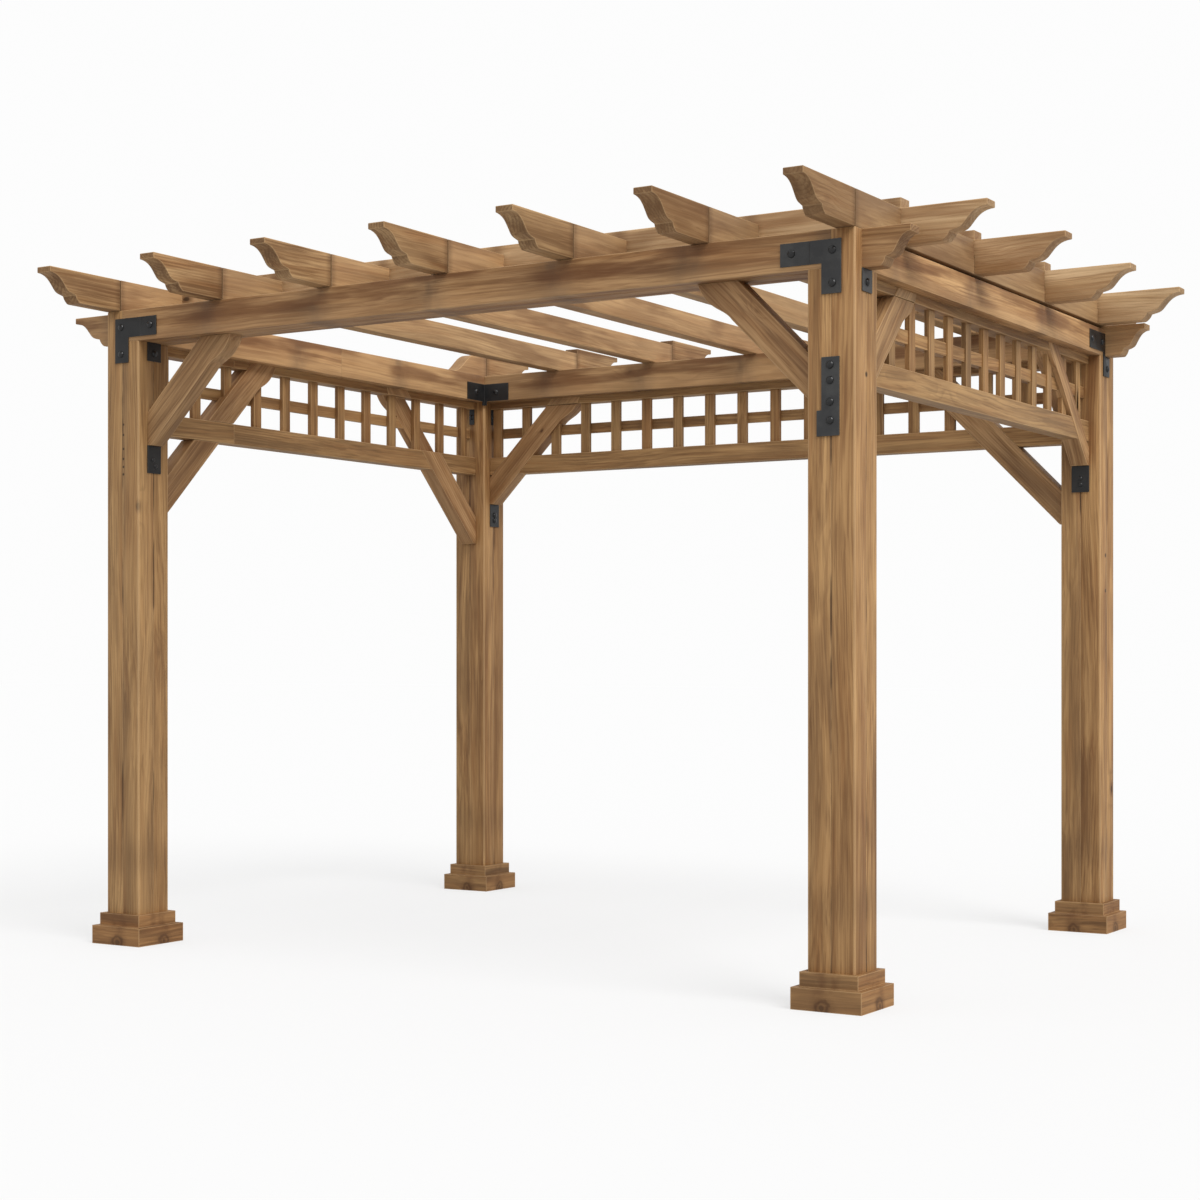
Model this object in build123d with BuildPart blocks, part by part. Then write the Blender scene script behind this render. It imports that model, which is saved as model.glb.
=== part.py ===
from build123d import *
import os

# A timber pergola: four posts, a ring of beams, rafters with shaped tails,
# side lookouts, knee braces and lattice panels on three sides.
# All sizes in millimetres. X runs along the front, the front faces -Y, Z is up.
# The origin is on the floor under the middle of the whole outline.

# overall footprint, measured over the outer faces of the posts
SPAN_X = 2886.0
SPAN_Y = 2260.0

# posts and their two-tier bases
POST = 150.0
POST_CHAMFER = 5.0
HEAD_ROOM = 2110.0
PLINTH_OUT = 36.0
PLINTH_HIGH = 64.0
COLLAR_OUT = 17.0
COLLAR_HIGH = 43.0
BASE_CHAMFER = 3.0

# beams: a core board with shaped tails between two cheek boards
BEAM_HIGH = 110.0
BOARD = 62.0
BEAM_TAIL = 198.0
BEAM_OGEE = 146.0
SHORT_TAIL = 150.0
SHORT_OGEE = 96.0
SIDE_DROP = 12.0
GROOVE_WIDE = 4.0
GROOVE_DEEP = 6.0

# rafters, cross purlin and lookouts
RAFTER_COUNT = 7
RAFTER_HIGH = 108.0
RAFTER_TAIL = 330.0
RAFTER_OGEE = 146.0
RAFTER_DIP = 20.0
STRIP_HIGH = 18.0
STRIP_END = 70.0
STRIP_RISE = 200.0
PURLIN_AT = 318.0
PURLIN_TAIL = 269.0
PURLIN_RISE = 32.0
LOOKOUTS_AT = [1370.0, 732.0, 180.0]
LOOKOUT_TAIL = 300.0

# the shaped end, as fractions of its run (from the tip) and of its height (from the top)
NOSE = 0.18
COVE = [(0.12, 0.197), (0.25, 0.26), (0.36, 0.37), (0.465, 0.53), (0.575, 0.675), (0.70, 0.735)]
STEP = (0.805, 0.765)
LOBE = [(0.845, 0.87), (0.91, 0.96)]
LOBE_IN = (-0.35, -1.0)

# knee braces
BRACE_THICK = 65.0
BRACE_WIDE = 95.0
BRACE_SHORT = 382.0
BRACE_REAR = 460.0
BRACE_SIDE = 422.0
BRACE_SIDE_WIDE = 62.0
BRACE_LONG = 632.0
BRACE_SEAT = 20.0
SCALLOP = [(0.30, 0.0), (0.235, 0.03), (0.17, 0.17), (0.085, 0.21)]

# lattice panels and their rails
TOP_RAIL = 30.0
BOTTOM_RAIL = 75.0
PANEL_HIGH = 314.0
SLAT_WIDE = 42.0
SLAT_THICK = 18.0
LEFT_FIRST = 42.0
LEFT_STEP = 168.0
RIGHT_FIRST = 85.0
RIGHT_STEP = 150.0
REAR_FIRST = 30.0
REAR_STEP = 149.5

# steel plates
PLATE = 4.0
STRAP_EDGE = 42.0
STRAP_WIDE = 62.0
STRAP_ARM = 193.0
STRAP_TOP = 29.0
STRAP_LOW = 67.0
STRAP_DROP = 74.0
TAB_WIDE = 66.0
TAB_DROP = 66.0
FOOT_TAB = 97.0
LONG_PLATE_TOP = 1857.0
LONG_PLATE_HIGH = 225.0
LONG_PLATE_WIDE = 56.0
LONG_PLATE_STEP = 74.0
LONG_PLATE_JOG = 15.0
CORNER_LEG = 127.0
CORNER_HIGH = 74.0
CORNER_EDGE = 15.0
CORNER_DROP = 17.0
TONGUE_WIDE = 24.0
TONGUE_SET = 12.0
SIDE_STRAP_ARM = 165.0
SIDE_STRAP_HIGH = 67.0
SIDE_STRAP_WIDE = 63.0
SIDE_STRAP_LAP = 17.0
SEAT_GAP = 0.3

# derived lines
SHIFT = (LOOKOUT_TAIL - BEAM_TAIL) / 2
X_LEFT = -SPAN_X / 2 - SHIFT
X_RIGHT = SPAN_X / 2 - SHIFT
Y_FRONT = -SPAN_Y / 2
Y_REAR = SPAN_Y / 2
BEAM_TOP = HEAD_ROOM + BEAM_HIGH
ROOF_TOP = BEAM_TOP + RAFTER_HIGH
CHEEK = (POST - BOARD) / 2
PURLIN_Y = Y_FRONT + PURLIN_AT

os.makedirs("parts", exist_ok=True)


def save(piece, label):
    piece.part.label = label
    export_step(piece.part, f"parts/{label}.step")


def block(x0, x1, y0, y1, z0, z1, mode=Mode.ADD):
    # a box between two corners, placed in the part that is being built
    with Locations(((x0 + x1) / 2, (y0 + y1) / 2, (z0 + z1) / 2)):
        Box(x1 - x0, y1 - y0, z1 - z0, mode=mode)


def tail_curves(tip, top, height, run, inward):
    # the shaped end from the underside of the nose back to the flat bottom edge
    def at(u, v):
        return (tip + inward * u * run, top - v * height)

    cove = [at(0, NOSE)] + [at(u, v) for u, v in COVE] + [at(*STEP)]
    lobe = [at(*STEP)] + [at(u, v) for u, v in LOBE] + [at(1, 1)]
    return cove, lobe


def board_outline(a0, a1, low, top, run0, run1):
    # side outline of a lying board; an end with a run gets the nose, cove, step and lobe
    height = top - low
    start = (a0, low)
    end = (a1, low)
    Line((a0, top), (a1, top))
    if run1:
        cove, lobe = tail_curves(a1, top, height, run1, -1)
        Line((a1, top), cove[0])
        Spline(*cove)
        Spline(*lobe, tangents=(LOBE_IN, (-1, 0)))
        end = lobe[-1]
    else:
        Line((a1, top), end)
    if run0:
        cove, lobe = tail_curves(a0, top, height, run0, 1)
        Line((a0, top), cove[0])
        Spline(*cove)
        Spline(*lobe, tangents=((-LOBE_IN[0], LOBE_IN[1]), (1, 0)))
        start = lobe[-1]
    else:
        Line((a0, top), start)
    Line(start, end)


def brace_outline(corner, toward, leg, wide):
    # knee brace outline: 'corner' is the post face, 'toward' is +1 or -1 away from it
    # and 'leg' is how far the underside reaches along the beam
    cut = wide * 2 ** 0.5
    def at(d, z):
        return (corner + toward * d, z)

    low = HEAD_ROOM - leg
    pts = [at(0, HEAD_ROOM - leg + cut), at(leg - cut, HEAD_ROOM), at(leg, HEAD_ROOM)]
    bump = [at(leg, HEAD_ROOM)]
    for along, out in reversed(SCALLOP):
        # distance back from the beam along the underside, and how far the wood is left standing
        d = leg - along * BRACE_SHORT
        z = HEAD_ROOM - along * BRACE_SHORT
        bump.append(at(d + out * wide / 2, z - out * wide / 2))
    Polyline(*pts)
    Spline(*bump)
    Polyline(bump[-1], at(BRACE_SEAT, low + BRACE_SEAT), at(0, low + BRACE_SEAT), pts[0])


POSTS = {
    "front_left": (X_LEFT, Y_FRONT),
    "front_right": (X_RIGHT - POST, Y_FRONT),
    "rear_left": (X_LEFT, Y_REAR - POST),
    "rear_right": (X_RIGHT - POST, Y_REAR - POST),
}

for corner, (x, y) in POSTS.items():
    with BuildPart() as post:
        block(x, x + POST, y, y + POST, 0, HEAD_ROOM)
        chamfer(post.edges().filter_by(Axis.Z), POST_CHAMFER)
    save(post, f"post_{corner}")

    with BuildPart() as plinth:
        wide = POST + 2 * PLINTH_OUT
        with Locations((x + POST / 2, y + POST / 2, 0)):
            Box(wide, wide, PLINTH_HIGH, align=(Align.CENTER, Align.CENTER, Align.MIN))
        chamfer(plinth.faces().sort_by(Axis.Z)[-1].edges(), BASE_CHAMFER)
        block(x, x + POST, y, y + POST, 0, PLINTH_HIGH, Mode.SUBTRACT)
    save(plinth, f"plinth_{corner}")

    with BuildPart() as collar:
        wide = POST + 2 * COLLAR_OUT
        top = PLINTH_HIGH + COLLAR_HIGH
        with Locations((x + POST / 2, y + POST / 2, PLINTH_HIGH)):
            Box(wide, wide, COLLAR_HIGH, align=(Align.CENTER, Align.CENTER, Align.MIN))
        chamfer(collar.faces().sort_by(Axis.Z)[-1].edges(), BASE_CHAMFER)
        block(x, x + POST, y, y + POST, PLINTH_HIGH, top, Mode.SUBTRACT)
    save(collar, f"collar_{corner}")

# front and rear beams: the core runs through with shaped tails, the outer cheek is flush
# with the posts and the inner cheek stops between the side beams
for name, outer, inward in (("front", Y_FRONT, 1), ("rear", Y_REAR, -1)):
    core0, core1 = sorted((outer + inward * CHEEK, outer + inward * (CHEEK + BOARD)))
    out0, out1 = sorted((outer, outer + inward * CHEEK))
    in0, in1 = sorted((outer + inward * (CHEEK + BOARD), outer + inward * POST))
    with BuildPart() as beam:
        with BuildSketch(Plane.XZ.offset(-core1)):
            with BuildLine():
                board_outline(X_LEFT - BEAM_TAIL, X_RIGHT + SHORT_TAIL, HEAD_ROOM, BEAM_TOP,
                              BEAM_OGEE, SHORT_OGEE)
            make_face()
        extrude(amount=core1 - core0)
        block(X_LEFT, X_RIGHT, out0, out1, HEAD_ROOM, BEAM_TOP)
        block(X_LEFT + POST, X_RIGHT - POST, in0, in1, HEAD_ROOM, BEAM_TOP)
        for line in (core0, core1):
            block(X_LEFT + POST, X_RIGHT - POST, line - GROOVE_WIDE / 2, line + GROOVE_WIDE / 2,
                  HEAD_ROOM, HEAD_ROOM + GROOVE_DEEP, Mode.SUBTRACT)
    save(beam, f"beam_{name}")

# side beams butt against the core boards; the right one stays a little below the last rafter
for name, x0, top in (("left", X_LEFT, BEAM_TOP), ("right", X_RIGHT - POST, BEAM_TOP - SIDE_DROP)):
    with BuildPart() as side_beam:
        block(x0, x0 + POST, Y_FRONT + CHEEK + BOARD, Y_REAR - CHEEK - BOARD, HEAD_ROOM, top)
    save(side_beam, f"beam_{name}")

# rafters lie on the beams; they are notched from the top where the purlin and lookouts cross;
# the purlin is set out from the front and the lookouts from the rear
RAFTER_STEP = (SPAN_X - BOARD) / (RAFTER_COUNT - 1)
rafter_x = [X_LEFT + i * RAFTER_STEP for i in range(RAFTER_COUNT)]
lookout_y = [Y_REAR - at for at in LOOKOUTS_AT]
LAP = BEAM_TOP + RAFTER_HIGH / 2
STRIP_TOP = BEAM_TOP + STRIP_HIGH


def low_strip():
    # outline of what is cut from the first rafter: over the side beam only a strip is left,
    # which sweeps up again into the rear tail
    y0 = PURLIN_Y + BOARD
    y1 = Y_REAR - STRIP_END
    Polyline((y1, ROOF_TOP), (y0, ROOF_TOP), (y0, STRIP_TOP), (y1 - STRIP_RISE, STRIP_TOP))
    Spline((y1 - STRIP_RISE, STRIP_TOP), (y1, ROOF_TOP), tangents=((1, 0), (1, 0)))


for i, x0 in enumerate(rafter_x):
    first = i == 0
    braced = i >= RAFTER_COUNT - 2
    crossings = [PURLIN_Y] + lookout_y if braced else [PURLIN_Y]
    with BuildPart() as rafter:
        with BuildSketch(Plane.YZ.offset(x0)):
            with BuildLine():
                board_outline(Y_FRONT - RAFTER_TAIL, Y_REAR + RAFTER_TAIL, BEAM_TOP, ROOF_TOP,
                              RAFTER_OGEE, RAFTER_OGEE)
            make_face()
        extrude(amount=BOARD)
        if first:
            with BuildSketch(Plane.YZ.offset(x0)):
                with BuildLine():
                    low_strip()
                make_face()
            extrude(amount=BOARD, mode=Mode.SUBTRACT)
        elif not braced:
            block(x0, x0 + BOARD, PURLIN_Y + BOARD, Y_REAR, ROOF_TOP - RAFTER_DIP, ROOF_TOP, Mode.SUBTRACT)
        for y0 in crossings:
            block(x0, x0 + BOARD, y0, y0 + BOARD, LAP, ROOF_TOP, Mode.SUBTRACT)
    save(rafter, f"rafter_{i + 1}")

# the front purlin crosses every rafter and the lookouts behind it start at the last but one;
# over the rafters they stand higher than over their tails
CROSSERS = {"purlin_front": (PURLIN_Y, rafter_x, PURLIN_TAIL)}
for k, y0 in enumerate(lookout_y):
    CROSSERS[f"lookout_{k + 1}"] = (y0, rafter_x[-2:], LOOKOUT_TAIL)

for name, (y0, crossed, tail) in CROSSERS.items():
    with BuildPart() as crosser:
        with BuildSketch(Plane.XZ.offset(-y0 - BOARD)):
            with BuildLine():
                board_outline(crossed[0], X_RIGHT + tail, BEAM_TOP, ROOF_TOP, 0, RAFTER_OGEE)
            make_face()
        extrude(amount=BOARD)
        block(crossed[0], X_RIGHT, y0, y0 + BOARD, ROOF_TOP, ROOF_TOP + PURLIN_RISE)
        for x0 in crossed:
            block(x0, x0 + BOARD, y0, y0 + BOARD, BEAM_TOP, LAP, Mode.SUBTRACT)
    save(crosser, name)

# knee braces, two to a side, in the middle plane of the posts
# name: plane, post face, direction away from the post, reach along the beam, width, post middle
XL = X_LEFT + POST
XR = X_RIGHT - POST
YF = Y_FRONT + POST
YR = Y_REAR - POST
BRACES = {
    "front_left": ("XZ", XL, 1, BRACE_SHORT, BRACE_WIDE, Y_FRONT + POST / 2),
    "front_right": ("XZ", XR, -1, BRACE_SHORT, BRACE_WIDE, Y_FRONT + POST / 2),
    "rear_left": ("XZ", XL, 1, BRACE_REAR, BRACE_WIDE, Y_REAR - POST / 2),
    "rear_right": ("XZ", XR, -1, BRACE_LONG, BRACE_WIDE, Y_REAR - POST / 2),
    "left_front": ("YZ", YF, 1, BRACE_LONG, BRACE_WIDE, X_LEFT + POST / 2),
    "left_rear": ("YZ", YR, -1, BRACE_LONG, BRACE_WIDE, X_LEFT + POST / 2),
    "right_front": ("YZ", YF, 1, BRACE_SHORT, BRACE_WIDE, X_RIGHT - POST / 2),
    "right_rear": ("YZ", YR, -1, BRACE_SIDE, BRACE_SIDE_WIDE, X_RIGHT - POST / 2),
}


def brace_solid(name, mode=Mode.ADD):
    plane, face, toward, leg, wide, middle = BRACES[name]
    if plane == "XZ":
        work = Plane.XZ.offset(-middle - BRACE_THICK / 2)
    else:
        work = Plane.YZ.offset(middle - BRACE_THICK / 2)
    with BuildSketch(work) as outline:
        with BuildLine():
            brace_outline(face, toward, leg, wide)
        make_face()
    extrude(outline.sketch, amount=BRACE_THICK, mode=mode)


# between the rails this brace is cut to its outer half and stands behind the upright slats
HALVED = "left_rear"
PANEL_LOW = HEAD_ROOM - PANEL_HIGH
RAIL_LOW = PANEL_LOW + BOTTOM_RAIL
RAIL_TOP = HEAD_ROOM - TOP_RAIL

for name in BRACES:
    with BuildPart() as brace:
        brace_solid(name)
        if name == HALVED:
            middle = BRACES[name][-1]
            block(middle, middle + BRACE_THICK / 2, YR - BRACE_LONG, YR, RAIL_LOW, RAIL_TOP, Mode.SUBTRACT)
    save(brace, f"brace_{name}")

# lattice sides: rails between the posts and slats between the rails, cut to fit the braces
SLAT_MID = (RAIL_TOP + RAIL_LOW) / 2
SIDES = {
    "left": (True, X_LEFT + POST / 2, YF, YR, LEFT_FIRST, LEFT_STEP, 1),
    "right": (True, X_RIGHT - POST / 2, YF, YR, RIGHT_FIRST, RIGHT_STEP, 1),
    "rear": (False, Y_REAR - POST / 2, XL, XR, REAR_FIRST, REAR_STEP, -1),
}


def bar(along_y, middle0, middle1, a0, a1, z0, z1):
    # a bar of a side panel: a0 to a1 along the side, middle0 to middle1 through it
    if along_y:
        block(middle0, middle1, a0, a1, z0, z1)
    else:
        block(a0, a1, middle0, middle1, z0, z1)


for side, (along_y, middle, a0, a1, slat_first, slat_step, face) in SIDES.items():
    own_braces = [name for name in BRACES if name.startswith(side)]
    with BuildPart() as rails:
        bar(along_y, middle - BOARD / 2, middle + BOARD / 2, a0, a1, RAIL_TOP, HEAD_ROOM)
        bar(along_y, middle - BOARD / 2, middle + BOARD / 2, a0, a1, PANEL_LOW, RAIL_LOW)
        for name in own_braces:
            brace_solid(name, Mode.SUBTRACT)
    save(rails, f"rails_{side}")

    with BuildPart() as lattice:
        up0, up1 = sorted((middle, middle + face * SLAT_THICK))
        cross0, cross1 = sorted((middle, middle - face * SLAT_THICK))
        bar(along_y, cross0, cross1, a0, a1, SLAT_MID - SLAT_WIDE / 2, SLAT_MID + SLAT_WIDE / 2)
        if HALVED in own_braces:
            brace_solid(HALVED, Mode.SUBTRACT)
        slats = int((a1 - a0 - slat_first - SLAT_WIDE / 2) / slat_step) + 1
        for i in range(slats):
            centre = a0 + slat_first + i * slat_step
            bar(along_y, up0, up1, centre - SLAT_WIDE / 2, centre + SLAT_WIDE / 2, RAIL_LOW, RAIL_TOP)
        for name in own_braces:
            if name != HALVED:
                brace_solid(name, Mode.SUBTRACT)
    save(lattice, f"lattice_{side}")


def strap(corner_x, toward):
    # inverted L plate on the front faces of beam and post
    arm0, arm1 = sorted((corner_x + toward * STRAP_EDGE, corner_x + toward * (STRAP_EDGE + STRAP_ARM)))
    leg0, leg1 = sorted((corner_x + toward * STRAP_EDGE, corner_x + toward * (STRAP_EDGE + STRAP_WIDE)))
    block(arm0, arm1, Y_FRONT - PLATE, Y_FRONT, BEAM_TOP - STRAP_TOP - STRAP_LOW, BEAM_TOP - STRAP_TOP)
    block(leg0, leg1, Y_FRONT - PLATE, Y_FRONT, HEAD_ROOM - STRAP_DROP, BEAM_TOP - STRAP_TOP)


def side_tab(face_x, outward, middle_y, top, high):
    # a plate on a post face that looks along X
    x0, x1 = sorted((face_x, face_x + outward * PLATE))
    block(x0, x1, middle_y - TAB_WIDE / 2, middle_y + TAB_WIDE / 2, top - high, top - SEAT_GAP)


FRONT_MID = Y_FRONT + POST / 2
REAR_MID = Y_REAR - POST / 2
SHORT_FOOT = HEAD_ROOM - BRACE_SHORT + BRACE_SEAT
REAR_FOOT = HEAD_ROOM - BRACE_REAR + BRACE_SEAT
SIDE_FOOT = HEAD_ROOM - BRACE_SIDE + BRACE_SEAT

with BuildPart() as bracket_fl:
    strap(X_LEFT, 1)
    side_tab(XL, 1, FRONT_MID, HEAD_ROOM, TAB_DROP)
    side_tab(XL, 1, FRONT_MID, SHORT_FOOT, FOOT_TAB)
save(bracket_fl, "brackets_front_left")

with BuildPart() as bracket_fr:
    strap(X_RIGHT, -1)
    side_tab(X_RIGHT, 1, FRONT_MID, HEAD_ROOM, TAB_DROP)
    plate_x = X_RIGHT - STRAP_EDGE - STRAP_WIDE
    block(plate_x, plate_x + LONG_PLATE_WIDE, Y_FRONT - PLATE, Y_FRONT,
          LONG_PLATE_TOP - LONG_PLATE_HIGH, LONG_PLATE_TOP)
    block(plate_x - LONG_PLATE_JOG, plate_x + LONG_PLATE_WIDE, Y_FRONT - PLATE, Y_FRONT,
          LONG_PLATE_TOP - LONG_PLATE_HIGH, LONG_PLATE_TOP - LONG_PLATE_HIGH + LONG_PLATE_STEP)
save(bracket_fr, "brackets_front_right")

# the far corner has an angle in the inner corner of the beams, which runs on a little below
# them along its edge, and a narrow tongue down each post face
with BuildPart() as bracket_rl:
    angle_top = HEAD_ROOM + CORNER_HIGH
    edge_low = HEAD_ROOM - CORNER_DROP
    block(XL, XL + PLATE, YR - CORNER_LEG, YR, HEAD_ROOM, angle_top)
    block(XL, XL + CORNER_LEG, YR - PLATE, YR, HEAD_ROOM, angle_top)
    block(XL, XL + PLATE, YR - CORNER_EDGE, YR, edge_low, HEAD_ROOM)
    block(XL, XL + CORNER_EDGE, YR - PLATE, YR, edge_low, HEAD_ROOM)
    side_tab(XL, 1, REAR_MID, REAR_FOOT, FOOT_TAB)
    tongue_x = X_LEFT + POST / 2 + TONGUE_SET
    tongue_y = REAR_MID - TONGUE_SET
    block(tongue_x - TONGUE_WIDE / 2, tongue_x + TONGUE_WIDE / 2, YR - PLATE, YR,
          RAIL_TOP - TAB_DROP, RAIL_TOP)
    block(XL, XL + PLATE, tongue_y - TONGUE_WIDE / 2, tongue_y + TONGUE_WIDE / 2,
          RAIL_TOP - TAB_DROP, RAIL_TOP)
save(bracket_rl, "brackets_rear_left")

# the right side has a short L plate on the side beam and a tab under the brace foot
with BuildPart() as bracket_rr:
    beam_end = Y_REAR - CHEEK - BOARD
    low = HEAD_ROOM - STRAP_DROP
    arm_low = BEAM_TOP - STRAP_TOP - SIDE_STRAP_HIGH
    block(X_RIGHT, X_RIGHT + PLATE, beam_end - SIDE_STRAP_ARM, beam_end - SEAT_GAP,
          arm_low, arm_low + SIDE_STRAP_HIGH)
    block(X_RIGHT, X_RIGHT + PLATE, beam_end - SIDE_STRAP_LAP, beam_end - SEAT_GAP, low, arm_low)
    block(X_RIGHT, X_RIGHT + PLATE, beam_end - SEAT_GAP, beam_end + SIDE_STRAP_WIDE - SIDE_STRAP_LAP,
          low, HEAD_ROOM - SEAT_GAP)
    foot_x = X_RIGHT - POST / 2
    block(foot_x - TAB_WIDE / 2, foot_x + TAB_WIDE / 2, YR - PLATE, YR,
          SIDE_FOOT - FOOT_TAB, SIDE_FOOT - SEAT_GAP)
save(bracket_rr, "brackets_rear_right")
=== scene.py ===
import math
import random

import bmesh
import bpy
from mathutils import Euler, Matrix, Vector


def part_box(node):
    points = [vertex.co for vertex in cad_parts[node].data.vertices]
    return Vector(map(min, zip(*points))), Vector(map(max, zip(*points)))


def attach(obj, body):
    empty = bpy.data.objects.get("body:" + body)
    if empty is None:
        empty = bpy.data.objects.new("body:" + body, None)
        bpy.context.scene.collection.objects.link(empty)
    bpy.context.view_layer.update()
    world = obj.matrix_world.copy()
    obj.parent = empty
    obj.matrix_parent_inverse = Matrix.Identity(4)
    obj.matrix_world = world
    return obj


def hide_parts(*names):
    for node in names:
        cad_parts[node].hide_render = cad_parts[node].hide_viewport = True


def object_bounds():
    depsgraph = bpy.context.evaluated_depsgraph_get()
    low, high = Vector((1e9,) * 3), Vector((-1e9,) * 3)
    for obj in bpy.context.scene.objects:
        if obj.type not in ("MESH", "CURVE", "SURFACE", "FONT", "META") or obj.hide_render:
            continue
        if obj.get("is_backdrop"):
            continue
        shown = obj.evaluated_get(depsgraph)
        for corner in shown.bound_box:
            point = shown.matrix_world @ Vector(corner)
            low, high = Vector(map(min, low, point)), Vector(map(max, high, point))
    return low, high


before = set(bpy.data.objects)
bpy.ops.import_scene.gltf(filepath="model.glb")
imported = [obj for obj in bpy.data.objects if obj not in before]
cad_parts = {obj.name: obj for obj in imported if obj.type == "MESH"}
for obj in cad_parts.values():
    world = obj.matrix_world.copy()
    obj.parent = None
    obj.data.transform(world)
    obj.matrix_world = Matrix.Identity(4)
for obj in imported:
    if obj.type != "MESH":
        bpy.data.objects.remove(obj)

solid_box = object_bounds()


# Posts: each is built up from four square sawn softwood timbers glued along their length. The
# fine joint down the middle of every face has opened here and there. The corner timber has a
# chamfered arris and runs on up past the cheek of the beam, which butts against it.

POST = 0.150
POST_ARRIS = 0.006
JOINT_ARRIS = 0.0014
HEAD = 2.110
BEAM_TOP = 2.220
CHEEK = 0.044
CORNERS = {"front_left": (-1, -1), "front_right": (1, -1), "rear_left": (-1, 1), "rear_right": (1, 1)}

draw = random.Random(7)


def sawn(bm, x0, x1, y0, y1, z0, z1):
    # one board between two corners, added to the mesh that is being made
    made = bmesh.ops.create_cube(bm, size=1.0)["verts"]
    bmesh.ops.scale(bm, vec=(x1 - x0, y1 - y0, z1 - z0), verts=made)
    bmesh.ops.translate(bm, vec=((x0 + x1) / 2, (y0 + y1) / 2, (z0 + z1) / 2), verts=made)
    return made


def ease(bm, edges, width, segments=2):
    # rounds the arrises and marks the new faces, which the finishes paint paler, for wear and as a painted
    # highlight
    arris = bm.faces.layers.int.get("arris") or bm.faces.layers.int.new("arris")
    made = bmesh.ops.bevel(bm, geom=edges, offset=width, offset_type="OFFSET", segments=segments,
                           profile=0.5, affect="EDGES", clamp_overlap=False, material=-1)
    for face in made["faces"]:
        face[arris] = 1


def corners_of(bm, least=40):
    # the edges where two faces meet at more than this many degrees
    return [e for e in bm.edges
            if len(e.link_faces) == 2 and e.calc_face_angle(0.0) > math.radians(least)]


def add_to(whole, part):
    # puts a finished board into the mesh of its piece
    scratch = bpy.data.meshes.new("board")
    part.to_mesh(scratch)
    part.free()
    whole.from_mesh(scratch)
    bpy.data.meshes.remove(scratch)


def boards_of(bm):
    # the faces of each separate board in a mesh
    left = set(bm.faces)
    while left:
        board, edge_of_search = set(), [left.pop()]
        while edge_of_search:
            face = edge_of_search.pop()
            board.add(face)
            near = {f for e in face.edges for f in e.link_faces if f in left}
            left -= near
            edge_of_search.extend(near)
        yield sorted(board, key=lambda f: f.index)


def lay_grain(bm, along=None):
    # gives each board a length of its own log: x runs with the grain, y and z count from the pith
    bm.faces.index_update()
    run = bm.loops.layers.float_vector.new("grain")
    cut = bm.faces.layers.float_vector.new("cut")
    arris = bm.faces.layers.int.get("arris")
    boards = list(boards_of(bm))
    boards.sort(key=lambda board: board[0].index)
    for board in boards:
        points = [v.co for f in board for v in f.verts]
        low = Vector([min(p[i] for p in points) for i in range(3)])
        high = Vector([max(p[i] for p in points) for i in range(3)])
        span = high - low
        if along is None:
            length = Vector([1.0 if i == max(range(3), key=lambda j: span[j]) else 0.0 for i in range(3)])
        else:
            length = Vector(along).normalized()
        side = length.orthogonal().normalized()
        turn = Matrix((length, side, length.cross(side)))
        angle = draw.uniform(0, math.tau)
        pith = draw.uniform(0.035, 0.11)
        shift = Vector((draw.uniform(-40, 40), pith * math.cos(angle), pith * math.sin(angle)))
        tone = draw.random()
        middle = (low + high) / 2
        for face in board:
            face[cut] = (tone, abs(face.normal.dot(length)), float(face[arris]) if arris else 0.0)
            for corner in face.loops:
                corner[run] = turn @ (corner.vert.co - middle) + shift


class Shade:
    """One socket of a material. + - * / on it add their Math nodes."""

    def __init__(self, finish, socket):
        self.finish = finish
        self.socket = socket

    def sum(self, operation, first, second):
        return self.finish.node("Math", {0: first, 1: second}, operation=operation)

    def __add__(self, other):
        return self.sum("ADD", self, other)

    __radd__ = __add__

    def __sub__(self, other):
        return self.sum("SUBTRACT", self, other)

    def __rsub__(self, other):
        return self.sum("SUBTRACT", other, self)

    def __mul__(self, other):
        return self.sum("MULTIPLY", self, other)

    __rmul__ = __mul__

    def __truediv__(self, other):
        return self.sum("DIVIDE", self, other)

    def __mod__(self, other):
        return self.sum("FLOORED_MODULO", self, other)

    def size(self):
        return self.finish.node("Math", {0: self}, operation="ABSOLUTE")

    def least(self, other):
        return self.sum("MINIMUM", self, other)

    def most(self, other):
        return self.sum("MAXIMUM", self, other)

    def clear(self, low, high):
        # 0 below low, 1 above high, eased between them
        return self.finish.node("MapRange", {"Value": self, "From Min": low, "From Max": high},
                                interpolation_type="SMOOTHSTEP")

    def near(self, place, reach):
        # 1 at a place on this axis, 0 further from it than reach
        return 1.0 - (self - place).size().clear(0.0, reach)


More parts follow.
